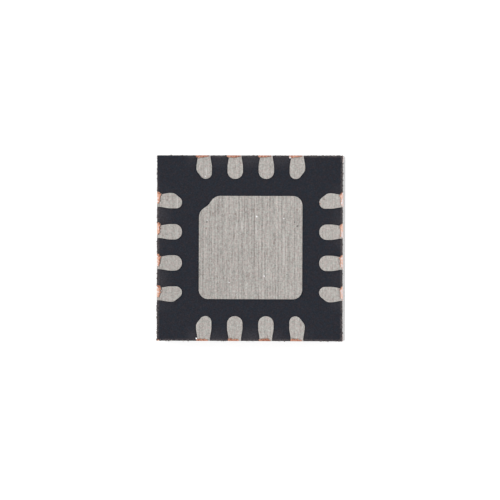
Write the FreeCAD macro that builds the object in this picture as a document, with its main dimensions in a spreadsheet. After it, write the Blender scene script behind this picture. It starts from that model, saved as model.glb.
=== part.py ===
import FreeCAD, Part
import os
import Sketcher

# A 16-lead QFN: a sawn block of moulding compound round an etched copper lead frame.
# It lies on its marked face, so the solder faces point up. All sizes are in millimetres.
# The origin is the centre of the marked face. The index corner is at -X +Y.

SIZES = [
    # the block of moulding compound
    ("corner_margin_x", 0.7425, "from the last lead's middle to the sawn wall, along X"),
    ("corner_margin_y", 0.74, "from the last lead's middle to the sawn wall, along Y"),
    ("package_height", 0.9, "from the marked face to the solder faces"),
    ("standoff", 0.02, "how far the solder faces stand out of the compound"),
    ("index_dot_diameter", 0.36, "moulded dimple in the marked face"),
    ("index_dot_depth", 0.03, "depth of that dimple"),
    ("index_dot_inset", 0.46, "from the dimple's middle to each wall"),
    # the etched lead frame
    ("frame_thickness", 0.2, "full thickness of the copper sheet"),
    ("half_thickness", 0.1, "what the half etch leaves of it, on the bonding side"),
    ("frame_shift_x", 0.0145, "how far the saw missed the frame's middle, along X"),
    ("frame_shift_y", 0.0105, "how far the saw missed the frame's middle, along Y"),
    # the leads
    ("leads_per_side", 4, "how many leads each side has"),
    ("lead_pitch", 0.5, "spacing of the leads"),
    ("lead_width", 0.246, "width of a solder land"),
    ("lead_length", 0.388, "from the nominal wall to the land's tip"),
    ("neck_width", 0.2, "width where the saw cuts the lead"),
    ("neck_length", 0.045, "straight part of the neck, from the nominal wall"),
    ("flare_length", 0.13, "where the neck widens to the land"),
    ("flare_radius", 0.3, "rounding at both ends of the flare"),
    ("tip_radius", 0.12, "rounding of a land's tip"),
    ("cut_width", 0.104, "slanted cut on the lands next to a package corner, across the land"),
    ("cut_length", 0.131, "the same cut, along the land"),
    ("cut_shoulder_radius", 0.1, "rounding where that cut leaves the land's side"),
    ("cut_tip_radius", 0.09, "rounding where it meets the tip"),
    ("cut_far_radius", 0.095, "rounding of the tip's other corner on those lands"),
    ("finger_reach", 0.07, "how far the bonding finger runs on past the land's tip"),
    ("finger_wing", 0.03, "how far it stands out beside the land"),
    # the exposed pad
    ("pad_gap", 0.274, "from a land's tip to the pad"),
    ("pad_corner_radius", 0.15, "rounding of the pad's corners"),
    ("notch_leg", 0.255, "where the index notch meets the pad's sides"),
    ("notch_depth", 0.15, "from the square corner to the notch's inner corner, along X and Y"),
    ("notch_radius", 0.17, "rounding where the notch meets the sides"),
    ("notch_hollow_radius", 0.2, "rounding of the notch's inner corner"),
    ("rim_reach", 0.06, "how far the half-etched rim stands out round the pad"),
    ("tie_bar_width", 0.14, "width of the bars that held the pad at its corners"),
    # the silicon die and its adhesive
    ("die_margin", 0.28, "pad that is left free round the die"),
    ("die_thickness", 0.25, "thickness of the silicon"),
    ("attach_thickness", 0.02, "thickness of the cured adhesive"),
    ("attach_margin", 0.03, "adhesive squeezed out round the die"),
    # the bond wires
    ("bond_pitch", 0.2, "spacing of the balls on the die"),
    ("bond_inset", 0.07, "from a ball's middle to the die's edge"),
    ("wire_diameter", 0.025, "diameter of the wire"),
    ("ball_diameter", 0.06, "diameter of the squashed ball"),
    ("ball_height", 0.015, "height of the squashed ball"),
    ("wire_rise", 0.09, "upright part of the wire over the die"),
    ("kink_rise", 0.03, "rise of the short slanted part after it"),
    ("kink_run", 0.03, "run of that part"),
    ("stitch_inset", 0.1, "from the finger's tip to the stitch"),
    ("stitch_length", 0.07, "length of the squashed end of the wire"),
    ("stitch_width", 0.05, "width of the squashed end"),
    ("stitch_thickness", 0.012, "thickness of the squashed end"),
]

SIDES = ["top", "right", "bottom", "left"]
QUARTER_TURN = -90
# the hidden wires and their balls have a few flats in place of a round section
WIRE_FLATS = 8
Z_AXIS = FreeCAD.Vector(0, 0, 1)

# expressions that several sub-parts share
PACKAGE_X = "((sizes.leads_per_side - 1) * sizes.lead_pitch + 2 * sizes.corner_margin_x)"
PACKAGE_Y = "((sizes.leads_per_side - 1) * sizes.lead_pitch + 2 * sizes.corner_margin_y)"
BOND_LEVEL = "(sizes.package_height - sizes.frame_thickness)"
DIE_FACE = f"({BOND_LEVEL} - sizes.attach_thickness - sizes.die_thickness)"
PAD_X = f"({PACKAGE_X} - 2 * sizes.lead_length - 2 * sizes.pad_gap)"
PAD_Y = f"({PACKAGE_Y} - 2 * sizes.lead_length - 2 * sizes.pad_gap)"
DIE_X = f"({PAD_X} - 2 * sizes.die_margin)"
DIE_Y = f"({PAD_Y} - 2 * sizes.die_margin)"

doc = FreeCAD.newDocument("QfnChip")
sheet = doc.addObject("Spreadsheet::Sheet", "sizes")
for row, (alias, value, note) in enumerate(SIZES, start=1):
    sheet.set(f"A{row}", note)
    sheet.set(f"B{row}", str(value))
    sheet.setAlias(f"B{row}", alias)
doc.recompute()


def value_of(expression):
    """The number that an expression on the sheet gives now."""
    return float(sheet.evalExpression(expression.replace("sizes.", "")))


def turned(side, along, outward):
    """Frame coordinates of a point given along a side and outward from the middle."""
    return [
        (along, outward),
        (outward, f"-({along})"),
        (f"-({along})", f"-({outward})"),
        (f"-({outward})", along),
    ][side]


def new_body(name):
    body = doc.addObject("PartDesign::Body", name)
    body.Label = name
    return body


def new_sketch(body, name, role, level="0"):
    """A sketch on one of the body's own origin planes, raised by level."""
    sketch = body.newObject("Sketcher::SketchObject", f"{body.Name}_{name}")
    plane = [item for item in body.Origin.OriginFeatures if item.Role == role][0]
    sketch.AttachmentSupport = [(plane, "")]
    sketch.MapMode = "FlatFace"
    sketch.setExpression("AttachmentOffset.Base.z", level)
    return sketch


def add_line_string(sketch, corners, closed=True):
    """Straight edges through corners that are bound to the sheet."""
    first = sketch.GeometryCount
    places = [FreeCAD.Vector(value_of(x), value_of(y), 0) for x, y in corners]
    edges = len(places) if closed else len(places) - 1
    for index in range(edges):
        line = Part.LineSegment(places[index], places[(index + 1) % len(places)])
        sketch.addGeometry(line, False)
    for index in range(edges if closed else edges - 1):
        after = (index + 1) % edges
        sketch.addConstraint(Sketcher.Constraint("Coincident", first + index, 2, first + after, 1))
    for index, (x, y) in enumerate(corners):
        edge, end = (index, 1) if index < edges else (index - 1, 2)
        for kind, expression, number in (("DistanceX", x, places[index].x),
                                         ("DistanceY", y, places[index].y)):
            made = sketch.addConstraint(
                Sketcher.Constraint(kind, -1, 1, first + edge, end, number))
            sketch.setExpression(f"Constraints[{made}]", expression)


def pad_up(body, name, outlines, level, thickness):
    """Closed outlines on a horizontal plane, padded upwards."""
    sketch = new_sketch(body, f"{name}_outline", "XY_Plane", level)
    for outline in outlines:
        add_line_string(sketch, outline)
    pad = body.newObject("PartDesign::Pad", f"{body.Name}_{name}")
    pad.Profile = sketch
    pad.setExpression("Length", thickness)
    doc.recompute()
    return pad


def round_off(body, name, corners, radius):
    """Rounds the body's upright edges that stand over the given corners."""
    base = body.Tip
    places = [(value_of(x), value_of(y)) for x, y in corners]
    edges = []
    for number, edge in enumerate(base.Shape.Edges, start=1):
        ends = [vertex.Point for vertex in edge.Vertexes]
        if len(ends) < 2 or ends[0].sub(ends[1]).cross(Z_AXIS).Length > 1e-6:
            continue
        if any(abs(ends[0].x - x) < 1e-6 and abs(ends[0].y - y) < 1e-6 for x, y in places):
            edges.append(f"Edge{number}")
    fillet = body.newObject("PartDesign::Fillet", f"{body.Name}_{name}")
    fillet.Base = (base, edges)
    fillet.setExpression("Radius", radius)
    doc.recompute()


def wall_distance(side):
    """From the frame's middle to the sawn wall of a side."""
    return [
        f"({PACKAGE_Y} / 2 - sizes.frame_shift_y)",
        f"({PACKAGE_X} / 2 - sizes.frame_shift_x)",
        f"({PACKAGE_Y} / 2 + sizes.frame_shift_y)",
        f"({PACKAGE_X} / 2 + sizes.frame_shift_x)",
    ][side]


def nominal_wall(side):
    """From the frame's middle to where that wall would be without the saw's offset."""
    return f"({(PACKAGE_Y, PACKAGE_X)[side % 2]} / 2)"


def offset_along(place):
    """How far along its side a lead stands from the frame's middle."""
    return f"(({place} - (sizes.leads_per_side - 1) / 2) * sizes.lead_pitch)"


def stand_on_frame(body, x, y, level):
    """Places a body in the lead frame, which sits a little off the package's middle."""
    body.setExpression("Placement.Base.x", f"sizes.frame_shift_x + {x}")
    body.setExpression("Placement.Base.y", f"sizes.frame_shift_y + {y}")
    body.setExpression("Placement.Base.z", level)


def add_lead_layer(body, name, side, hand, wing, reach, thickness):
    """One level of a lead: neck, flare and land, with a rounded tip towards the pad.

    hand is -1 or 1 where the lead stands next to a package corner on that side, else 0.
    """
    half_neck = "sizes.neck_width / 2"
    half_land = f"(sizes.lead_width / 2 + {wing})"
    cut_across = f"(sizes.cut_width + {wing})"
    cut_along = f"(sizes.cut_length + {wing})"
    tip = f"({nominal_wall(side)} - sizes.lead_length - {reach})"
    neck = f"({nominal_wall(side)} - sizes.neck_length)"
    flare = f"({neck} - sizes.flare_length)"
    ends, bends, corners = [], [], []
    for way in (-1, 1):
        ends.append((f"{way} * {half_neck}", wall_distance(side)))
        bends.append([(f"{way} * {half_neck}", neck), (f"{way} * {half_land}", flare)])
        if way == hand:
            corners.append([(f"{way} * {half_land}", f"{tip} + {cut_along}"),
                            (f"{way} * ({half_land} - {cut_across})", tip)])
        else:
            corners.append([(f"{way} * {half_land}", tip)])
    outline = [ends[0]] + bends[0] + corners[0] + corners[1][::-1] + bends[1][::-1] + [ends[1]]
    pad_up(body, name, [outline], "0", thickness)
    if hand:
        cut_side, square_side = (corners[1], corners[0]) if hand > 0 else (corners[0], corners[1])
        tip_room = f"(2 * {half_land} - {cut_across})"
        side_room = f"({flare} - {tip} - {cut_along})"
        round_off(body, f"{name}_tip", square_side,
                  f"min(sizes.cut_far_radius + {wing}; 0.67 * {tip_room})")
        round_off(body, f"{name}_cut", cut_side[1:],
                  f"min(sizes.cut_tip_radius; 0.64 * {tip_room})")
        round_off(body, f"{name}_shoulder", cut_side[:1],
                  f"min(sizes.cut_shoulder_radius; 1.3 * {side_room})")
        flare_angle = f"atan2({half_land} - {half_neck}; sizes.flare_length)"
        flare_radius = f"min(sizes.flare_radius; 0.5 * {side_room} / tan({flare_angle} / 2))"
    else:
        round_off(body, f"{name}_tip", corners[0] + corners[1],
                  f"min(sizes.tip_radius + {wing}; 0.98 * {half_land})")
        flare_radius = "sizes.flare_radius"
    round_off(body, f"{name}_flare", bends[0] + bends[1], flare_radius)


def make_lead(name, side, place):
    """A full-thickness land with a half-etched bonding finger that locks it into the mould."""
    last = int(value_of("sizes.leads_per_side")) - 1
    hand = {0: -1, last: 1}.get(place, 0)
    body = new_body(name)
    add_lead_layer(body, "land", side, hand, "0", "0", "sizes.frame_thickness")
    add_lead_layer(body, "finger", side, hand, "sizes.finger_wing", "sizes.finger_reach",
                   "sizes.half_thickness")
    body.Placement.Rotation = FreeCAD.Rotation(Z_AXIS, QUARTER_TURN * side)
    stand_on_frame(body, *turned(side, offset_along(place), "0"), BOND_LEVEL)
    return body


def make_die_pad():
    """The exposed pad with its index notch, half-etched rim and four tie bars."""
    body = new_body("die_pad")
    x, y = f"({PAD_X} / 2)", f"({PAD_Y} / 2)"
    square = [(f"-{x}", f"-{y}"), (x, f"-{y}"), (x, y)]
    notch_ends = [(f"-{x} + sizes.notch_leg", y), (f"-{x}", f"{y} - sizes.notch_leg")]
    notch_middle = (f"-{x} + sizes.notch_depth", f"{y} - sizes.notch_depth")
    outline = square + [notch_ends[0], notch_middle, notch_ends[1]]
    pad_up(body, "face", [outline], "0", "sizes.frame_thickness")
    round_off(body, "face_corners", square, "sizes.pad_corner_radius")
    round_off(body, "notch_ends", notch_ends, "sizes.notch_radius")
    round_off(body, "notch_middle", [notch_middle], "sizes.notch_hollow_radius")

    rim_x, rim_y = f"({x} + sizes.rim_reach)", f"({y} + sizes.rim_reach)"
    rim = [(f"-{rim_x}", f"-{rim_y}"), (rim_x, f"-{rim_y}"), (rim_x, rim_y), (f"-{rim_x}", rim_y)]
    pad_up(body, "rim", [rim], "0", "sizes.half_thickness")
    round_off(body, "rim_corners", rim, "sizes.pad_corner_radius + sizes.rim_reach")

    slant = "(sizes.tie_bar_width / sqrt(2))"
    bars = []
    for way_x in (-1, 1):
        for way_y in (-1, 1):
            wall_x = wall_distance(1 if way_x > 0 else 3)
            wall_y = wall_distance(0 if way_y > 0 else 2)
            root_x = f"({x} - sizes.pad_corner_radius)"
            root_y = f"({y} - sizes.pad_corner_radius)"
            bar = [(root_x, f"{root_y} - {slant}"), (wall_x, f"{wall_y} - {slant}"),
                   (wall_x, wall_y), (f"{wall_x} - {slant}", wall_y),
                   (f"{root_x} - {slant}", root_y)]
            bars.append([(f"{way_x} * ({bx})", f"{way_y} * ({by})") for bx, by in bar])
    pad_up(body, "tie_bars", bars, "0", "sizes.half_thickness")
    stand_on_frame(body, "0", "0", BOND_LEVEL)
    return body


def make_slab(name, length, width, thickness, level):
    """A flat rectangular layer, centred on the lead frame."""
    slab = doc.addObject("Part::Box", name)
    slab.Label = name
    slab.setExpression("Length", length)
    slab.setExpression("Width", width)
    slab.setExpression("Height", thickness)
    stand_on_frame(slab, f"-({length}) / 2", f"-({width}) / 2", level)
    return slab


def make_bond_wire(name, side, place):
    """A wire from a ball on the die to a stitch on the lead's finger, bent in one upright plane."""
    body = new_body(name)
    half_die = f"({(DIE_Y, DIE_X)[side % 2]} / 2)"
    ball_along = f"(({place} - (sizes.leads_per_side - 1) / 2) * sizes.bond_pitch)"
    ball_out = f"({half_die} - sizes.bond_inset)"
    stitch_out = (f"({nominal_wall(side)} - sizes.lead_length - sizes.finger_reach"
                  " + sizes.stitch_inset)")
    along = f"({offset_along(place)} - {ball_along})"
    out = f"({stitch_out} - {ball_out})"
    span = f"hypot({along}; {out})"
    drop = "(sizes.attach_thickness + sizes.die_thickness)"

    path = new_sketch(body, "path", "XZ_Plane")
    add_line_string(path, [
        ("0", "-sizes.ball_height / 2"),
        ("0", "-sizes.wire_rise"),
        ("sizes.kink_run", "-sizes.wire_rise - sizes.kink_rise"),
        (span, f"{drop} - sizes.wire_diameter / 2"),
    ], closed=False)
    section = new_sketch(body, "section", "XY_Plane", "-sizes.ball_height / 2")
    add_line_string(section, [
        (f"sizes.wire_diameter / 2 * cos({360 * corner / WIRE_FLATS} deg)",
         f"sizes.wire_diameter / 2 * sin({360 * corner / WIRE_FLATS} deg)")
        for corner in range(WIRE_FLATS)
    ])
    doc.recompute()
    wire = body.newObject("PartDesign::AdditivePipe", f"{name}_wire")
    wire.Profile = section
    wire.Spine = path
    wire.Transition = "Right corner"
    doc.recompute()

    ball = body.newObject("PartDesign::AdditivePrism", f"{name}_ball")
    ball.Polygon = WIRE_FLATS
    ball.setExpression("Circumradius", "sizes.ball_diameter / 2")
    ball.setExpression("Height", "sizes.ball_height")
    ball.setExpression("Placement.Base.z", "-sizes.ball_height")
    stitch = body.newObject("PartDesign::AdditiveBox", f"{name}_stitch")
    stitch.setExpression("Length", "sizes.stitch_length")
    stitch.setExpression("Width", "sizes.stitch_width")
    stitch.setExpression("Height", "sizes.stitch_thickness")
    stitch.setExpression("Placement.Base.x", f"{span} - sizes.stitch_length / 2")
    stitch.setExpression("Placement.Base.y", "-sizes.stitch_width / 2")
    stitch.setExpression("Placement.Base.z", f"{drop} - sizes.stitch_thickness")

    body.setExpression("Placement.Rotation.Angle",
                       f"atan2({out}; {along}) + {QUARTER_TURN * side} deg")
    stand_on_frame(body, *turned(side, ball_along, ball_out), DIE_FACE)
    return body


def make_mould(inserts):
    """The sawn block of compound, with room for everything that was moulded in."""
    block = new_body("mould_block")
    x, y = f"({PACKAGE_X} / 2)", f"({PACKAGE_Y} / 2)"
    square = [(f"-{x}", f"-{y}"), (x, f"-{y}"), (x, y), (f"-{x}", y)]
    pad_up(block, "block", [square], "0", "sizes.package_height - sizes.standoff")
    dot = block.newObject("PartDesign::SubtractiveCylinder", "index_dot")
    dot.setExpression("Radius", "sizes.index_dot_diameter / 2")
    dot.setExpression("Height", "sizes.index_dot_depth")
    dot.setExpression("Placement.Base.x", f"-{x} + sizes.index_dot_inset")
    dot.setExpression("Placement.Base.y", f"{y} - sizes.index_dot_inset")
    doc.recompute()

    moulded_in = doc.addObject("Part::Compound", "moulded_in")
    moulded_in.Links = inserts
    mould = doc.addObject("Part::Cut", "mould_body")
    mould.Label = "mould_body"
    mould.Base = block
    mould.Tool = moulded_in
    return mould


inserts = []
for side in range(len(SIDES)):
    for place in range(int(value_of("sizes.leads_per_side"))):
        number = len(inserts) // 2 + 1
        inserts.append(make_lead(f"lead_{number:02d}", side, place))
        inserts.append(make_bond_wire(f"bond_wire_{number:02d}", side, place))
inserts.append(make_die_pad())
inserts.append(make_slab("die_attach", f"{DIE_X} + 2 * sizes.attach_margin",
                         f"{DIE_Y} + 2 * sizes.attach_margin", "sizes.attach_thickness",
                         f"{BOND_LEVEL} - sizes.attach_thickness"))
inserts.append(make_slab("die", DIE_X, DIE_Y, "sizes.die_thickness", DIE_FACE))
sub_parts = inserts + [make_mould(inserts)]
doc.recompute()

for item in doc.Objects:
    if "Invalid" in item.State or "Error" in item.State:
        raise RuntimeError(f"{item.Label} did not build: {item.State}")
for item in sub_parts:
    shape = item.Shape
    if shape.isNull() or not shape.isValid() or len(shape.Solids) != 1:
        raise RuntimeError(f"{item.Label} is not one valid solid")

os.makedirs("parts", exist_ok=True)
for item in sub_parts:
    item.Shape.exportStep(f"parts/{item.Label}.step")
    print(f"{item.Label}: {item.Shape.Volume:.5f} mm3")
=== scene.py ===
# %% [markdown]
# # A sixteen-lead chip package without legs, seen from its solder side
# The real object is a square of black moulding compound, three millimetres wide. Sixteen small copper lands
# and one large pad lie in its underside, a hair proud of it, all plated with tin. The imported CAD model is
# the frame of this lesson. It fixes every size and place, and the steps below add finishes and fine marks.

# %% Load the frame
import math
import random

import bmesh
import bpy
from mathutils import Matrix, Vector, noise


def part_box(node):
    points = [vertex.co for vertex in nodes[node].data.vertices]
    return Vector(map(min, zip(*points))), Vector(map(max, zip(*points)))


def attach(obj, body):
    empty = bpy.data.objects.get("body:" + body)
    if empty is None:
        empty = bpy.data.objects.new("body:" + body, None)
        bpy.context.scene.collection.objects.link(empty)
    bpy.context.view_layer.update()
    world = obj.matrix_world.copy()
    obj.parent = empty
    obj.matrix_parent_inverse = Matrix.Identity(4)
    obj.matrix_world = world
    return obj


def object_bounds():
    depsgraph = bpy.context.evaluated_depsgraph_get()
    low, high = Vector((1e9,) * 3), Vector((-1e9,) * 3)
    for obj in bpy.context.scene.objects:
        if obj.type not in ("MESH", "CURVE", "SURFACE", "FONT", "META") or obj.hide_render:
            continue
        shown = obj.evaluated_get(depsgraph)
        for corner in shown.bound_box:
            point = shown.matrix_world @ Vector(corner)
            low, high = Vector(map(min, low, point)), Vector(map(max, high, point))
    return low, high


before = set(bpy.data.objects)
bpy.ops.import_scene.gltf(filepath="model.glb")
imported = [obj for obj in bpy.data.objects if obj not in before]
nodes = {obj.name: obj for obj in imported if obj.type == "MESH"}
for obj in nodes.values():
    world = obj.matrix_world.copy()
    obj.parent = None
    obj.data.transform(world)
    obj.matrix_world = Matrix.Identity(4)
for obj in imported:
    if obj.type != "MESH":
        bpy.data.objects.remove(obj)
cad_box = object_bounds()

MM = 0.001
scene = bpy.context.scene
cad_box_mm = [[round(value / MM, 3) for value in corner] for corner in cad_box]
print("CAD nodes:", len(nodes), "box in mm:", cad_box_mm)

# %% Measure the frame
package_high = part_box("mould_body")[1]
half_x = package_high.x
half_y = package_high.y
face_z = package_high.z
land_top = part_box("die_pad")[1].z
lead_names = ["lead_%02d" % number for number in range(1, 17)]
leads_of_side = {
    "top": lead_names[0:4],
    "right": lead_names[4:8],
    "bottom": lead_names[8:12],
    "left": lead_names[12:16],
}
print("package half sizes in mm:", round(half_x / MM, 4), round(half_y / MM, 4))
print("solder faces stand at", round(land_top / MM, 3), "mm")

# %% [markdown]
# ## Camera
# The photograph looks almost straight down on the solder side with a long lens, so the walls nearly vanish
# and only a sliver of the right wall shows. An orthographic camera would also do for a flat part. A real
# lens a long way off gives the photograph's slight parallax, and can be moved round the object later.

# %% Place the camera
FRAME_WIDTH = 8.025 * MM
LENS = 400.0
SENSOR = 36.0
LEAN_TO_RIGHT = math.radians(3.55)
ROLL = math.radians(0.17)
AIM = Vector((0.0050 * MM, -0.0285 * MM, face_z))

camera_data = bpy.data.cameras.new("long_lens")
camera_data.lens = LENS
camera_data.sensor_width = SENSOR
distance = FRAME_WIDTH * LENS / SENSOR
camera_data.clip_start = distance * 0.2
camera_data.clip_end = distance * 20
camera = bpy.data.objects.new("camera", camera_data)
scene.collection.objects.link(camera)
camera.rotation_mode = "QUATERNION"
turn = Matrix.Rotation(LEAN_TO_RIGHT, 4, "Y") @ Matrix.Rotation(ROLL, 4, "Z")
camera.rotation_quaternion = turn.to_quaternion()
camera.location = AIM + turn.to_3x3() @ Vector((0, 0, distance))
scene.camera = camera
print("camera stands", round(distance / MM, 1), "mm away")

# %% [markdown]
# ## A way to write finishes
# A finish is a chain of shader nodes. Wiring them by hand hides the idea behind the wiring, so a small
# class wraps the output of a node and lets sums be written as Python sums. One method adds every other node.

# %% Wires: sums of shader values
class Wire:
    """The output of a node. A sum written with it adds the Math node that works it out."""

    def __init__(self, graph, socket):
        self.graph = graph
        self.socket = socket

    def __add__(self, other):
        return self.graph.maths("ADD", self, other)

    def __radd__(self, other):
        return self.graph.maths("ADD", other, self)

    def __sub__(self, other):
        return self.graph.maths("SUBTRACT", self, other)

    def __rsub__(self, other):
        return self.graph.maths("SUBTRACT", other, self)

    def __mul__(self, other):
        return self.graph.maths("MULTIPLY", self, other)

    def __rmul__(self, other):
        return self.graph.maths("MULTIPLY", other, self)

    def __abs__(self):
        return self.graph.maths("ABSOLUTE", self)


# %% Graphs: nodes and the wires between them
class Graph:
    """A tree of shader nodes."""

    def __init__(self, tree):
        self.tree = tree

    def node(self, kind, settings=None, inputs=None, output=0):
        """Adds a node. Its settings are set first, then the values or wires of its sockets."""
        made = self.tree.nodes.new(kind)
        for name, value in (settings or {}).items():
            setattr(made, name, value)
        for key, value in (inputs or {}).items():
            self.feed(self.pick(made.inputs, key), value)
        return Wire(self, self.pick(made.outputs, output))

    def maths(self, operation, *terms):
        return self.node("ShaderNodeMath", {"operation": operation}, dict(enumerate(terms)))

    def pick(self, sockets, key):
        """A socket by its number or its name, among those that the node shows."""
        shown = [socket for socket in sockets if socket.enabled]
        if isinstance(key, int):
            return shown[key]
        return next(socket for socket in shown if socket.name == key)

    def feed(self, socket, value):
        if isinstance(value, Wire):
            self.tree.links.new(value.socket, socket)
        elif socket.type == "RGBA":
            socket.default_value = (*value, 1.0)
        else:
            socket.default_value = value


# %% Finishes: materials made of such graphs
class Finish(Graph):
    """One material: a principled shader and the nodes that feed it."""

    def __init__(self, name):
        self.material = bpy.data.materials.new(name)
        self.material.use_nodes = True
        super().__init__(self.material.node_tree)
        self.shader = self.tree.nodes["Principled BSDF"]
        place = self.node("ShaderNodeTexCoord", output="Object")
        self.place_mm = self.shade(place, 1 / MM)
        self.x, self.y, self.z = (self.part(self.place_mm, axis) for axis in "XYZ")

    def part(self, vector, axis):
        return self.node("ShaderNodeSeparateXYZ", inputs={"Vector": vector}, output=axis)

    def set(self, **inputs):
        """Sets the principled shader's own sockets, with underscores for the spaces in their names."""
        for name, value in inputs.items():
            self.feed(self.pick(self.shader.inputs, name.replace("_", " ")), value)

    def grain(self, per_mm, detail=2.0, roughness=0.5, shift=0.0):
        """Noise with so many features in a millimetre along X, Y and Z. A shift picks another stretch."""
        inputs = {0: self.place_mm, 1: per_mm, 2: (shift,) * 3}
        vector = self.node("ShaderNodeVectorMath", {"operation": "MULTIPLY_ADD"}, inputs)
        inputs = {"Vector": vector, "Scale": 1.0, "Detail": detail, "Roughness": roughness}
        return self.node("ShaderNodeTexNoise", {}, inputs)

    def window(self, value, low, high):
        """A smooth step: 0 below low, 1 above high. Low may be the larger, and then it falls."""
        rising = low < high
        step = self.node(
            "ShaderNodeMapRange",
            {"interpolation_type": "SMOOTHSTEP"},
            {"Value": value, "From Min": min(low, high), "From Max": max(low, high)},
        )
        return step if rising else 1 - step

    def mix(self, mask, colour, other):
        """The first colour where the mask is 0, the other one where it is 1."""
        return self.node("ShaderNodeMix", {"data_type": "RGBA"}, {"Factor": mask, "A": colour, "B": other})

    def shade(self, colour, factor):
        """A colour or vector times a factor, which may change over the surface."""
        return self.node("ShaderNodeVectorMath", {"operation": "SCALE"}, {"Vector": colour, "Scale": factor})

    def bump(self, height, depth_mm, normal=None):
        inputs = {"Height": height, "Strength": 1.0, "Distance": depth_mm * MM}
        if normal is not None:
            inputs["Normal"] = normal
        return self.node("ShaderNodeBump", {}, inputs)


# %% Helpers for colours and slots
def linear(channel):
    """A channel from 0 to 255, as the eye sees it, turned into the linear number that a shader takes."""
    share = channel / 255
    return share / 12.92 if share <= 0.04045 else ((share + 0.055) / 1.055) ** 2.4


def srgb(red, green, blue):
    return (linear(red), linear(green), linear(blue))


def dress(names, finish):
    """Gives a finish to the CAD nodes with these names."""
    for name in names:
        for slot in nodes[name].material_slots:
            slot.material = finish.material
    print(finish.material.name + ":", len(names), "nodes,", len(finish.tree.nodes), "shader nodes")


# %% [markdown]
# ## Moulding compound
# The body is epoxy filled with fine silica and blackened with carbon. The mould leaves the solder side a
# smooth charcoal with a faint grain. The walls are sawn, so they show level saw streaks and cut grains of
# filler, pale on the black. One finish serves the block, and masks made from position tell sawn walls from
# moulded faces.

# %% Where the compound is sawn, near an edge or in a corner
# gaps and places are in millimetres, and facing_up is 1 where the surface looks straight up
compound = Finish("moulding_compound_finish")
wall_gap_x = half_x / MM - abs(compound.x)
wall_gap_y = half_y / MM - abs(compound.y)
wall_gap = compound.maths("MINIMUM", wall_gap_x, wall_gap_y)
facing_up = compound.part(compound.node("ShaderNodeNewGeometry", output="Normal"), "Z")
sawn = compound.window(wall_gap, 0.004, 0.001) * compound.window(abs(facing_up), 0.7, 0.3)
near_edge = compound.window(wall_gap, 0.30, 0.0)
in_corner = compound.window(compound.maths("MAXIMUM", wall_gap_x, wall_gap_y), 0.62, 0.40)
clean_corner = compound.window(compound.y - compound.x, 2.2, 2.8)
side_line = compound.window(wall_gap_x, 0.050, 0.008) + compound.window(wall_gap_y, 0.044, 0.008) * 0.9
print("masks of the compound:", len(compound.tree.nodes), "shader nodes")

# %% Moulded faces
cloud = compound.grain((1.6, 1.6, 1.6), detail=3.0)
speckle = compound.grain((52.0, 52.0, 52.0), detail=2.0, roughness=0.6)
hue_patch = compound.grain((18.0, 18.0, 18.0), detail=2.0, shift=4.0)
warm_fleck = compound.window(compound.grain((46.0, 46.0, 46.0), detail=1.0, shift=7.0), 0.58, 0.70)
chip = compound.window(compound.grain((38.0, 38.0, 38.0), detail=1.0, shift=17.0), 0.24, 0.58)

rim_tone = near_edge * (1 - in_corner) * compound.window(cloud, 0.28, 0.60)
# painted highlight: the lighter line along the sawn edges stands in for light caught on their rounded edge,
# as well as for chips that bare the filler
chipped_and_highlit_edge = side_line * chip * (1 - clean_corner)
deep = compound.mix(compound.window(hue_patch, 0.34, 0.66), srgb(35, 41, 51), srgb(41, 40, 48))
edged = compound.mix(rim_tone, deep, srgb(60, 59, 65))
flecked = compound.mix(warm_fleck * 0.35, edged, srgb(62, 54, 54))
worn_and_highlit = compound.mix(chipped_and_highlit_edge, flecked, srgb(92, 85, 86))
moulded_colour = compound.shade(worn_and_highlit, 0.08 + speckle * 1.80)
print("with the moulded faces:", len(compound.tree.nodes), "shader nodes")

# %% Sawn walls
streak = compound.grain((3.0, 3.0, 90.0), detail=3.0, roughness=0.6)
cut_filler = compound.window(compound.grain((64.0, 64.0, 64.0), detail=0.0, shift=3.0), 0.66, 0.76)
streaked = compound.mix(compound.window(streak, 0.35, 0.7), srgb(50, 46, 46), srgb(86, 79, 75))
sawn_tone = compound.shade(streaked, 0.5 + speckle)
sawn_colour = compound.mix(cut_filler * 0.8, sawn_tone, srgb(138, 133, 127))

compound.set(
    Base_Color=compound.mix(sawn, moulded_colour, sawn_colour),
    Roughness=0.62 - sawn * 0.26 + speckle * 0.12,
    Specular_IOR_Level=0.18,
    IOR=1.5,
    Coat_Weight=sawn * 0.68,
    Coat_Roughness=0.12,
)
relief = speckle * 0.6 + sawn * streak * 2.0 - sawn * cut_filler * 0.5
compound.set(Normal=compound.bump(relief, 0.004))
dress(["mould_body"], compound)

# %% [markdown]
# ## Tin on copper
# The lands and the pad are rolled copper plated with matt tin. Rolling leaves fine lines that all run the
# same way, here up and down the picture, under a cloudy satin grey. Where the saw cut through the frame, the
# wall shows bare copper with a thin line of tin on top. Position tells the two apart, so one finish does.

# %% Rolling lines and grain of the plating
tin = Finish("tin_on_copper")
long_lines = tin.grain((38.0, 0.3, 1.0), detail=1.0)
short_lines = tin.grain((38.0, 3.6, 1.0), detail=1.0, shift=11.0)
grit = tin.grain((44.0, 48.0, 20.0), detail=1.0, roughness=0.6, shift=2.0)
dabs = tin.grain((34.0, 20.0, 10.0), detail=1.0, shift=19.0)
tint = tin.grain((36.0, 30.0, 8.0), detail=1.0, shift=5.0)
dark_dash = tin.window(tin.grain((42.0, 8.0, 1.0), detail=1.0, shift=23.0), 0.66, 0.76)
bright_dash = tin.window(tin.grain((44.0, 7.0, 1.0), detail=1.0, shift=31.0), 0.68, 0.78)
print("grain of the plating:", len(tin.tree.nodes), "shader nodes")

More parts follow.
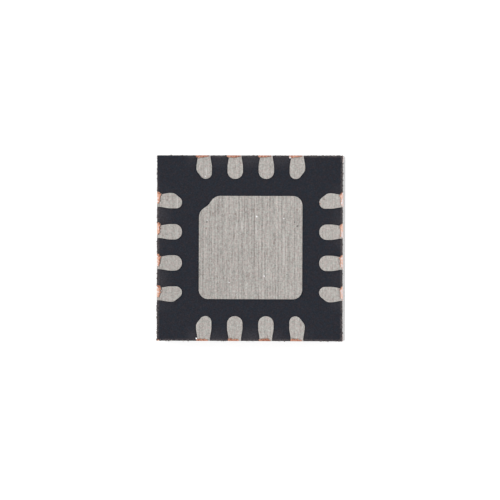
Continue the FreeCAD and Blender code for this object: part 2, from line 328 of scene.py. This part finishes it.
# %% Colour of the plating
on_pad = tin.window(tin.maths("MAXIMUM", abs(tin.x), abs(tin.y)), 0.98, 0.92)
line_strength = 0.45 + on_pad * (0.43 + tin.y * 0.08)
lines = (long_lines * 0.92 + short_lines * 0.68 - 0.80) * line_strength
specks = grit * 0.76 + dabs * 0.60 - 0.68
level = 0.98 + tin.x * 0.03 - on_pad * 0.045 + lines + specks
greys = tin.mix(tin.window(tint - grit * 0.4, 0.16, 0.44), srgb(176, 175, 170), srgb(178, 169, 165))
plate = tin.shade(greys, level)
plate = tin.mix(dark_dash * 0.65, plate, srgb(134, 122, 115))
plate = tin.mix(bright_dash * 0.5, plate, srgb(214, 211, 207))
print("with its colour:", len(tin.tree.nodes), "shader nodes")

# %% Scratches along the rolling lines, with painted shade and painted highlights
DEEP_GROOVE_SHADE = srgb(104, 98, 95)
GROOVE_SHADE = srgb(138, 130, 126)
PALE_GROOVE_HIGHLIGHT = srgb(198, 195, 192)
GROOVE_HIGHLIGHT = srgb(214, 211, 208)
SCRATCH_END = 0.05
# X, lower end, upper end and half width in millimetres, and the tone: dark tones are painted shade in the
# groove, light ones painted highlights along it
SCRATCHES_MM = [
    (-1.168, 0.10, 0.92, 0.011, PALE_GROOVE_HIGHLIGHT),
    (-0.704, 1.21, 1.28, 0.011, GROOVE_HIGHLIGHT),
    (-0.552, 0.48, 0.70, 0.008, GROOVE_SHADE),
    (-0.234, -1.24, -1.18, 0.010, GROOVE_SHADE),
    (-0.208, 0.31, 0.41, 0.010, GROOVE_HIGHLIGHT),
    (-0.185, -0.25, -0.02, 0.009, GROOVE_SHADE),
    (-0.124, 0.28, 0.44, 0.010, GROOVE_HIGHLIGHT),
    (-0.078, 0.45, 0.82, 0.009, DEEP_GROOVE_SHADE),
    (0.073, -0.30, 0.78, 0.009, DEEP_GROOVE_SHADE),
    (0.109, 0.20, 0.54, 0.009, GROOVE_HIGHLIGHT),
    (0.553, -0.28, 0.24, 0.008, GROOVE_HIGHLIGHT),
    (0.646, -0.30, -0.03, 0.008, GROOVE_SHADE),
]
strength = 0.22 + tin.window(short_lines, 0.34, 0.56) * 0.36
for scratch_x, low_y, high_y, half_width, tone in SCRATCHES_MM:
    above = tin.window(tin.y, low_y - SCRATCH_END, low_y + SCRATCH_END)
    below = tin.window(tin.y, high_y + SCRATCH_END, high_y - SCRATCH_END)
    across = tin.window(abs(tin.x - scratch_x), half_width * 1.5, half_width * 0.5)
    plate = tin.mix(across * above * below * strength, plate, tone)
print("scratches:", len(SCRATCHES_MM))

# %% Pits and smudges on the plating; the pits are painted shade
# X, Y and radius in millimetres of the marks that the eye picks out, from left to right
SHADED_PITS_MM = [(-0.69, 0.42, 0.014), (0.60, -0.42, 0.010), (0.722, 0.42, 0.013), (0.766, 0.357, 0.017)]
SMUDGES_MM = [
    (-1.33, 0.77, 0.020), (-1.32, 0.83, 0.018), (-0.70, 0.32, 0.015), (-0.59, 0.56, 0.020),
    (-0.52, 0.32, 0.014), (-0.52, 0.62, 0.016), (-0.23, 0.55, 0.022), (0.06, 0.62, 0.022),
    (0.39, 0.08, 0.022), (0.76, 0.62, 0.020), (1.19, 0.79, 0.019),
]


def spots(marks, core):
    """A mask of round marks: 1 up to a share of each radius, and 0 a little outside it."""
    mask = 0.0
    for x, y, radius in marks:
        inputs = {0: tin.place_mm, 1: (x, y, land_top / MM)}
        gap = tin.node("ShaderNodeVectorMath", {"operation": "DISTANCE"}, inputs, output="Value")
        mask = tin.window(gap, radius * 1.4, radius * core) + mask
    return mask


plate = tin.mix(spots(SMUDGES_MM, 0.2) * (0.35 + grit * 0.8), plate, srgb(138, 126, 120))
# painted shade: each pit is a dark spot painted where shade would fall in it, with no hollow in the mesh
plate = tin.mix(spots(SHADED_PITS_MM, 0.4) * 0.8, plate, srgb(92, 88, 88))
print("pits:", len(SHADED_PITS_MM), "smudges:", len(SMUDGES_MM))

# %% Rounded edges of the plating, with a painted highlight along them
EDGE_RADIUS = 0.010 * MM
rounded = tin.node("ShaderNodeBevel", {"samples": 6}, {"Radius": EDGE_RADIUS})
facing = tin.node("ShaderNodeNewGeometry", output="Normal")
inputs = {0: rounded, 1: facing}
flatness = tin.node("ShaderNodeVectorMath", {"operation": "DOT_PRODUCT"}, inputs, output="Value")
rim_highlight = tin.window(flatness, 0.998, 0.94)
# painted highlight: the rim is coloured lighter where the rounded edge would catch the light
plate = tin.mix(rim_highlight * 0.45, plate, srgb(212, 209, 205))
print("edges look rounded over", round(EDGE_RADIUS / MM, 3), "mm")

# %% Bare copper where it was sawn
TIN_THICKNESS = 0.008
tin_gap_x = half_x / MM - abs(tin.x)
tin_gap_y = half_y / MM - abs(tin.y)
in_wall = tin.window(tin.maths("MINIMUM", tin_gap_x, tin_gap_y), 0.003, 0.001)
tin_bottom = land_top / MM - TIN_THICKNESS
bare = in_wall * tin.window(tin.z, tin_bottom, tin_bottom - 0.004)
saw_line = tin.grain((4.0, 4.0, 85.0), detail=2.0, shift=13.0)
copper = tin.mix(tin.window(saw_line, 0.35, 0.68), srgb(176, 108, 84), srgb(226, 164, 138))

tin.set(
    Base_Color=tin.mix(bare, plate, copper),
    Metallic=1.0,
    Roughness=0.34 + grit * 0.16,
)
tin.set(Normal=tin.bump(short_lines * 0.5 + grit * 0.5 + bare * saw_line, 0.0012, rounded))
dress(["die_pad"] + lead_names, tin)

# %% [markdown]
# ## Smeared copper
# The dicing blade drags copper out of every lead and leaves a thin ragged lip over the land at the wall.
# Paint alone would give its colour but not its bright curled edge, so each lip is a thin sheet of its own.
# A grid is bent over the edge of the package, its inner side is torn with noise, and it gets its thickness.
# The lip's pale top carries a painted highlight, and a thin apron past its torn edge a painted shadow on the
# land.

# %% Smeared copper finish
smear = Finish("smeared_copper")


def burr_value(name):
    """A number that each vertex of a burr carries."""
    settings = {"attribute_type": "GEOMETRY", "attribute_name": name}
    return smear.node("ShaderNodeAttribute", settings, output="Fac")


# reach is 0 at the wall and 1 at the torn edge, ending is 0 where the blade dragged the copper to
reach = burr_value("reach")
ending = burr_value("ending")
drag = smear.grain((48.0, 48.0, 30.0), detail=2.0, roughness=0.6)
patch = smear.grain((42.0, 42.0, 16.0), detail=1.0, shift=9.0)
side_wall = smear.window(abs(smear.x), 1.30, 1.34)
east = smear.window(smear.x, 1.2, 1.3)
thick_end = smear.window(ending, 0.34, 0.06)
# painted shade: the torn inner edge keeps the darker copper, as on a slope that faces away from the light
shaded_torn_edge = smear.window(reach + drag * 0.7 - east * 0.2 + thick_end * 0.42, 0.82, 0.98)
# painted shadow: past the torn edge the sheet runs on flat over the land as an apron, darkest beside the
# left burrs, where the lip's shadow falls
shadow_apron = smear.window(reach, 1.01, 1.04)
# painted highlight: on the side walls the top of the lip is lighter copper with near-white glints, where its
# curl would catch the light
glint_patch = smear.window(patch + east * (ending * 0.12 - 0.01), 0.56, 0.61)

rough_copper = smear.mix(smear.window(drag, 0.42, 0.58), srgb(146, 92, 74), srgb(202, 152, 131))
glint_tone = smear.mix(east, srgb(229, 225, 228), srgb(211, 207, 212))
copper_lip_highlight = smear.mix(glint_patch, srgb(215, 178, 159), glint_tone)
lip = smear.mix(side_wall * (1 - shaded_torn_edge), rough_copper, copper_lip_highlight)
shadow_apron_tone = smear.mix(side_wall * (1 - east), srgb(172, 166, 160), srgb(116, 112, 110))
smear.set(
    Base_Color=smear.mix(shadow_apron, lip, shadow_apron_tone),
    Metallic=1.0,
    Roughness=0.30 + drag * 0.2,
)
smear.set(Normal=smear.bump(drag, 0.0015))
print("smeared copper:", len(smear.tree.nodes), "shader nodes")

# %% Helpers for new pieces
# each side's own direction, clockwise round the package, and its outward direction
SIDES = {
    "top": ((1, 0, 0), (0, 1, 0)),
    "right": ((0, -1, 0), (1, 0, 0)),
    "bottom": ((-1, 0, 0), (0, -1, 0)),
    "left": ((0, 1, 0), (-1, 0, 0)),
}


def side_matrix(side, centre):
    """Local X runs along the side, local Y points out of the package and local Z points up."""
    along, outward = SIDES[side]
    columns = Matrix((along, outward, (0, 0, 1))).transposed().to_4x4()
    return Matrix.Translation(centre) @ columns


def add_piece(name, shape, finish):
    """Turns a bmesh into a piece that rides with the package."""
    mesh = bpy.data.meshes.new(name)
    shape.to_mesh(mesh)
    shape.free()
    mesh.materials.append(finish.material)
    piece = bpy.data.objects.new(name, mesh)
    scene.collection.objects.link(piece)
    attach(piece, "root")


def smooth(shape):
    for face in shape.faces:
        face.smooth = True


# %% Shape of one burr
# lengths in millimetres, and waves of the torn edge in a millimetre
BURR_THICKNESS = 0.004
BURR_COLUMNS = 32
LEAST_WIDTH = 0.008
FULL_HEIGHT_WIDTH = 0.04
MOST_RIPPLE = 0.003
MOST_SWAY = 0.005
COARSE_WAVES = 22
FINE_WAVES = 52
RIPPLE_WAVES = 60
# how far out of the wall, or when negative which share of the reach inwards, and how high over the land
# the last two stations lay a thin apron on the land past the torn edge, which carries a painted shadow
BURR_PROFILE = [
    (0.0010, -0.040), (0.0015, -0.026), (0.0015, -0.012), (0.0010, -0.001), (-0.06, 0.006), (-0.25, 0.008),
    (-0.45, 0.0075), (-0.65, 0.009), (-0.85, 0.0135), (-1.0, 0.0145), (-1.03, 0.0015), (-1.28, 0.0002),
]


def between(stations, share):
    """The value at a share of the way along evenly spaced stations."""
    place = share * (len(stations) - 1)
    step = min(int(place), len(stations) - 2)
    return stations[step] + (stations[step + 1] - stations[step]) * (place - step)


def bend_vertex(vertex, out, height, across, along, width, seed):
    """Moves a vertex of the flat grid to its place on the torn lip."""
    coarse = noise.noise(Vector((along * COARSE_WAVES, seed * 3.7, 0.4)))
    fine = noise.noise(Vector((along * FINE_WAVES, seed, 2.0)))
    if out < 0:
        out = out * max(LEAST_WIDTH, width * (1 + coarse * 0.30 + fine * 0.42))
    bumps = noise.noise(Vector((along * RIPPLE_WAVES, out * RIPPLE_WAVES, seed * 1.3)))
    ripple = bumps * min(MOST_RIPPLE, height * 0.3)
    sway = noise.noise(Vector((across * 3, height * 40, seed * 5.1))) * MOST_SWAY
    if height < 0:
        height = height * (0.9 + 0.7 * coarse)
    else:
        height = height * min(1.0, 0.3 + width / FULL_HEIGHT_WIDTH)
    vertex.co = Vector((along + sway, out, height + ripple)) * MM


def make_burr(name, side, centre, start, end, widths, seed):
    """A torn lip from start to end along a side, with its widths from the end that the copper went to."""
    shape = bmesh.new()
    rows = len(BURR_PROFILE) - 1
    bmesh.ops.create_grid(shape, x_segments=BURR_COLUMNS, y_segments=rows, size=0.5)
    reach_layer = shape.verts.layers.float.new("reach")
    ending_layer = shape.verts.layers.float.new("ending")
    dragged_to_start = side in ("top", "right")
    for vertex in shape.verts:
        across = vertex.co.x + 0.5
        out, height = BURR_PROFILE[round((vertex.co.y + 0.5) * rows)]
        vertex[reach_layer] = max(0.0, -out)
        vertex[ending_layer] = across if dragged_to_start else 1 - across
        width = between(widths, vertex[ending_layer])
        bend_vertex(vertex, out, height, across, start + (end - start) * across, width, seed)
    bmesh.ops.transform(shape, matrix=side_matrix(side, centre), verts=shape.verts)
    bmesh.ops.solidify(shape, geom=shape.faces[:], thickness=-BURR_THICKNESS * MM)
    bmesh.ops.recalc_face_normals(shape, faces=shape.faces)
    # solidify adds the faces of the rim in an order that changes from run to run, so all are put in order
    shape.faces.sort(key=lambda face: face.calc_center_median().length)
    smooth(shape)
    add_piece(name, shape, smear)


print("grid of a burr:", BURR_COLUMNS, "by", len(BURR_PROFILE) - 1, "faces")

# %% Put a burr on every lead
# start, end and widths in millimetres: the blade dragged copper towards -X on two sides, +Y on the others
BURR_SIZES = {
    "top": (-0.132, 0.083, [0.026, 0.038, 0.033, 0.033, 0.022, 0.018]),
    "right": (-0.131, 0.071, [0.016, 0.044, 0.032, 0.033, 0.033, 0.029]),
    "bottom": (-0.073, 0.113, [0.026, 0.036, 0.032, 0.034, 0.031, 0.020]),
    "left": (-0.050, 0.142, [0.036, 0.062, 0.056, 0.050, 0.048, 0.030]),
}
SPREAD = 0.008
dice = random.Random(16)
for number, name in enumerate(lead_names, 1):
    side = next(side for side, names in leads_of_side.items() if name in names)
    low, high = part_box(name)
    middle = (low + high) / 2
    centre = {
        "top": Vector((middle.x, half_y, land_top)),
        "right": Vector((half_x, middle.y, land_top)),
        "bottom": Vector((middle.x, -half_y, land_top)),
        "left": Vector((-half_x, middle.y, land_top)),
    }[side]
    start, end, widths = BURR_SIZES[side]
    size = dice.uniform(0.9, 1.1)
    start += dice.uniform(-SPREAD, SPREAD)
    end += dice.uniform(-SPREAD, SPREAD)
    make_burr("saw_burr_%02d" % number, side, centre, start, end, [width * size for width in widths], number)
print("burrs on leads:", len(lead_names))

# %% One more burr, on the tie bar that the saw cut beside a corner
TIE_BAR_FROM_CORNER = 0.022 * MM
tie_bar_end = Vector((-half_x + TIE_BAR_FROM_CORNER, -half_y, face_z))
make_burr("tie_bar_burr", "bottom", tie_bar_end, -0.018, 0.020, [0.010, 0.020, 0.018], 40)
print("and one on a tie bar")

# %% [markdown]
# ## Crumbs, nodules, curls and a fleck
# A sawn edge is never quite clean: crumbs of compound cling to it and make the outline a little rough. The
# plating has a few bright nodules, tin curls up from two burrs, and one land holds a fleck of copper. They
# are tiny, so each is a small ball of a few faces, flattened, and turned at random from a fixed seed.

# %% Add one small grain to a mesh
def add_grain(shape, place, radii, turn, detail=1):
    """A ball with its own radius along each axis, turned about a vector by an angle of its length."""
    spin = Matrix.Rotation(turn.length, 4, turn)
    matrix = Matrix.Translation(place) @ spin @ Matrix.Diagonal((*radii, 1.0))
    bmesh.ops.create_icosphere(shape, subdivisions=detail, radius=MM, matrix=matrix)


def any_turn():
    """A vector that points anywhere, as long as the angle to turn by, in radians."""
    return Vector([dice.uniform(-1, 1) for axis in range(3)]).normalized() * dice.uniform(1.4, 7.0)


# %% Crumbs along the sawn edges
CRUMBS_PER_SIDE = {"top": 90, "right": 130, "bottom": 60, "left": 150}
CRUMB_RADII = (0.003, 0.011)
CLEAR_OF_LEAD = 0.14
# least and most, in radii of the crumb: out of the wall, down the wall, and its stretch along each axis
CRUMB_OUT = (-0.4, 0.55)
CRUMB_DOWN = (-0.2, 1.2)
CRUMB_STRETCH = (0.6, 1.3)
crumbs = bmesh.new()
for side, count in CRUMBS_PER_SIDE.items():
    level_side = side in ("top", "bottom")
    axis = 0 if level_side else 1
    half_along = (half_x if level_side else half_y) / MM
    half_out = (half_y if level_side else half_x) / MM
    sign = 1 if side in ("top", "right") else -1
    lead_boxes = [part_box(name) for name in leads_of_side[side]]
    lead_middles = [(low[axis] + high[axis]) / 2 / MM for low, high in lead_boxes]
    made = 0
    while made < count:
        along = dice.uniform(-half_along, half_along)
        if min(abs(along - middle) for middle in lead_middles) < CLEAR_OF_LEAD:
            continue
        radius = dice.uniform(*CRUMB_RADII)
        out = sign * (half_out + dice.uniform(*CRUMB_OUT) * radius)
        height = face_z / MM - dice.uniform(*CRUMB_DOWN) * radius
        place = Vector((along, out, height) if level_side else (out, along, height)) * MM
        radii = [radius * dice.uniform(*CRUMB_STRETCH) for axis in range(3)]
        add_grain(crumbs, place, radii, any_turn())
        made += 1
print("crumbs:", sum(CRUMBS_PER_SIDE.values()))

# %% Finish of the crumbs
dust = Finish("sawn_dust")
dust_kind = dust.grain((24.0, 24.0, 24.0), detail=1.0, shift=6.0)
dust.set(
    Base_Color=dust.mix(dust.window(dust_kind, 0.44, 0.56), srgb(92, 85, 83), srgb(206, 198, 194)),
    Roughness=0.7 + dust_kind * 0.2,
)
add_piece("saw_crumbs", crumbs, dust)
print("finish of the crumbs:", len(dust.tree.nodes), "shader nodes")

# %% Nodules on the plating and tin curls on two burrs, coloured with a painted highlight
glinting_nodule_finish = Finish("tin_with_painted_glint")
glint = glinting_nodule_finish.grain((80.0, 80.0, 80.0), detail=1.0)
# painted highlight: the nodules and curls are near white, far lighter than the plating, to stand in for
# their glints
glinting_nodule_finish.set(
    Base_Color=glinting_nodule_finish.mix(glint, srgb(226, 226, 230), srgb(250, 250, 252)),
    Metallic=1.0,
    Roughness=0.22 + glint * 0.12,
)
NODULE_RISE = 0.004
# X, Y, half width and height over the solder faces, in millimetres
NODULES_MM = [
    (0.112, 0.508, 0.012, 0.0), (0.234, -0.447, 0.010, 0.0), (-0.328, -0.552, 0.008, 0.0),
    (-0.682, 0.448, 0.007, 0.0), (0.549, 0.475, 0.008, 0.0), (-0.714, 1.152, 0.007, 0.0),
    (-0.139, 1.168, 0.005, 0.0), (-0.205, -0.740, 0.006, 0.0),
]
CURLS_MM = [(0.647, 1.457, 0.017, 0.007), (-0.853, -1.452, 0.013, 0.007)]
nodules = bmesh.new()
for x, y, width, lift in NODULES_MM + CURLS_MM:
    place = Vector((x, y, land_top / MM + lift)) * MM
    radii = (width, width * dice.uniform(1.0, 1.6), NODULE_RISE + lift * 0.4)
    add_grain(nodules, place, radii, Vector((0, 0, dice.uniform(0.07, 0.21))), 2)
smooth(nodules)
add_piece("tin_nodules", nodules, glinting_nodule_finish)
print("nodules:", len(NODULES_MM), "curls:", len(CURLS_MM))

# %% Copper fleck on the tip of the first right-hand land
FLECK_FROM_TIP = 0.078 * MM
FLECK_Y = 0.720 * MM
fleck = bmesh.new()
fleck_place = Vector((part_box("lead_05")[0].x + FLECK_FROM_TIP, FLECK_Y, land_top))
add_grain(fleck, fleck_place, (0.007, 0.012, 0.004), Vector((0, 0, 0.14)), 2)
add_piece("copper_fleck", fleck, smear)
print("fleck stands at", [round(value / MM, 3) for value in fleck_place], "mm")

# %% [markdown]
# ## Hidden pieces
# The die, its adhesive and the bond wires are sealed in the compound and never seen. They keep their CAD
# shapes and get plain finishes, so that a cut through the model still looks right.

# %% Hidden finishes
silicon = Finish("polished_silicon")
film = silicon.grain((3.0, 3.0, 3.0), detail=1.0)
silicon.set(
    Base_Color=silicon.mix(film, srgb(86, 88, 98), srgb(104, 100, 112)),
    Metallic=0.6,
    Roughness=0.16 + film * 0.1,
)
adhesive = Finish("silver_filled_adhesive")
flakes = adhesive.grain((60.0, 60.0, 60.0), detail=2.0)
adhesive.set(
    Base_Color=adhesive.mix(adhesive.window(flakes, 0.4, 0.6), srgb(150, 148, 144), srgb(204, 202, 198)),
    Metallic=0.7,
    Roughness=0.45 + flakes * 0.2,
)
gold = Finish("drawn_gold_wire")
drawn = gold.grain((90.0, 90.0, 90.0), detail=2.0)
gold.set(
    Base_Color=gold.mix(drawn, srgb(222, 176, 92), srgb(240, 202, 124)),
    Metallic=1.0,
    Roughness=0.22 + drawn * 0.12,
)
dress(["die"], silicon)
dress(["die_attach"], adhesive)
dress([name.replace("lead", "bond_wire") for name in lead_names], gold)

# %% [markdown]
# ## Floor, world and lamps
# The ground is pure white in the photograph. Its white comes from the ground's own glow towards the camera
# and the mirror-like surfaces, not from stronger lamps, so the object keeps its colours and a faint shadow.

# %% Floor
FLOOR_HALF = 400 * MM
FLOOR_DROP = 0.002 * MM
FLOOR_GLOW = 0.67


def seen_rays(graph):
    """1 for rays from the camera, a mirror or glass, and 0 for those that only carry light."""
    kinds = ("Is Camera Ray", "Is Glossy Ray", "Is Transmission Ray")
    from_camera, from_mirror, from_glass = (graph.node("ShaderNodeLightPath", output=kind) for kind in kinds)
    return graph.maths("MAXIMUM", graph.maths("MAXIMUM", from_camera, from_mirror), from_glass)


floor_mesh = bmesh.new()
bmesh.ops.create_grid(floor_mesh, x_segments=1, y_segments=1, size=FLOOR_HALF)
bmesh.ops.translate(floor_mesh, vec=(0, 0, -FLOOR_DROP), verts=floor_mesh.verts)
floor_data = bpy.data.meshes.new("floor")
floor_mesh.to_mesh(floor_data)
floor_mesh.free()
floor = bpy.data.objects.new("floor", floor_data)
scene.collection.objects.link(floor)

ground = Finish("white_ground")
ground.set(Base_Color=srgb(230, 230, 230), Roughness=0.9, Specular_IOR_Level=0.0)
ground.set(Emission_Color=(1.0, 1.0, 1.0), Emission_Strength=seen_rays(ground) * FLOOR_GLOW)
floor_data.materials.append(ground.material)
print("floor is", round(2 * FLOOR_HALF / MM), "mm wide")

# %% World
AMBIENT = 0.6
world = bpy.data.worlds.new("soft_room")
scene.world = world
world.use_nodes = True
sky = Graph(world.node_tree)
background = sky.tree.nodes["Background"]
sky.feed(background.inputs["Strength"], AMBIENT + seen_rays(sky) * (1 - AMBIENT))
sky.feed(background.inputs["Color"], (1.0, 1.0, 1.0))
print("world lights with strength", AMBIENT)

# %% Lamps, and the way the picture is shown
def add_softbox(name, direction, size_mm, far_mm, watts):
    """A square lamp that faces the package from a direction."""
    lamp = bpy.data.lights.new(name, "AREA")
    lamp.shape = "SQUARE"
    lamp.size = size_mm * MM
    lamp.energy = watts
    holder = bpy.data.objects.new(name, lamp)
    scene.collection.objects.link(holder)
    away = Vector(direction).normalized()
    holder.location = away * far_mm * MM
    holder.rotation_mode = "QUATERNION"
    holder.rotation_quaternion = away.to_track_quat("Z", "Y")


add_softbox("softbox_left", (-0.75, 0.45, 0.8), size_mm=40, far_mm=80, watts=0.012)
add_softbox("softbox_right", (0.85, 0.2, 0.75), size_mm=40, far_mm=80, watts=0.010)
scene.view_settings.view_transform = "Standard"
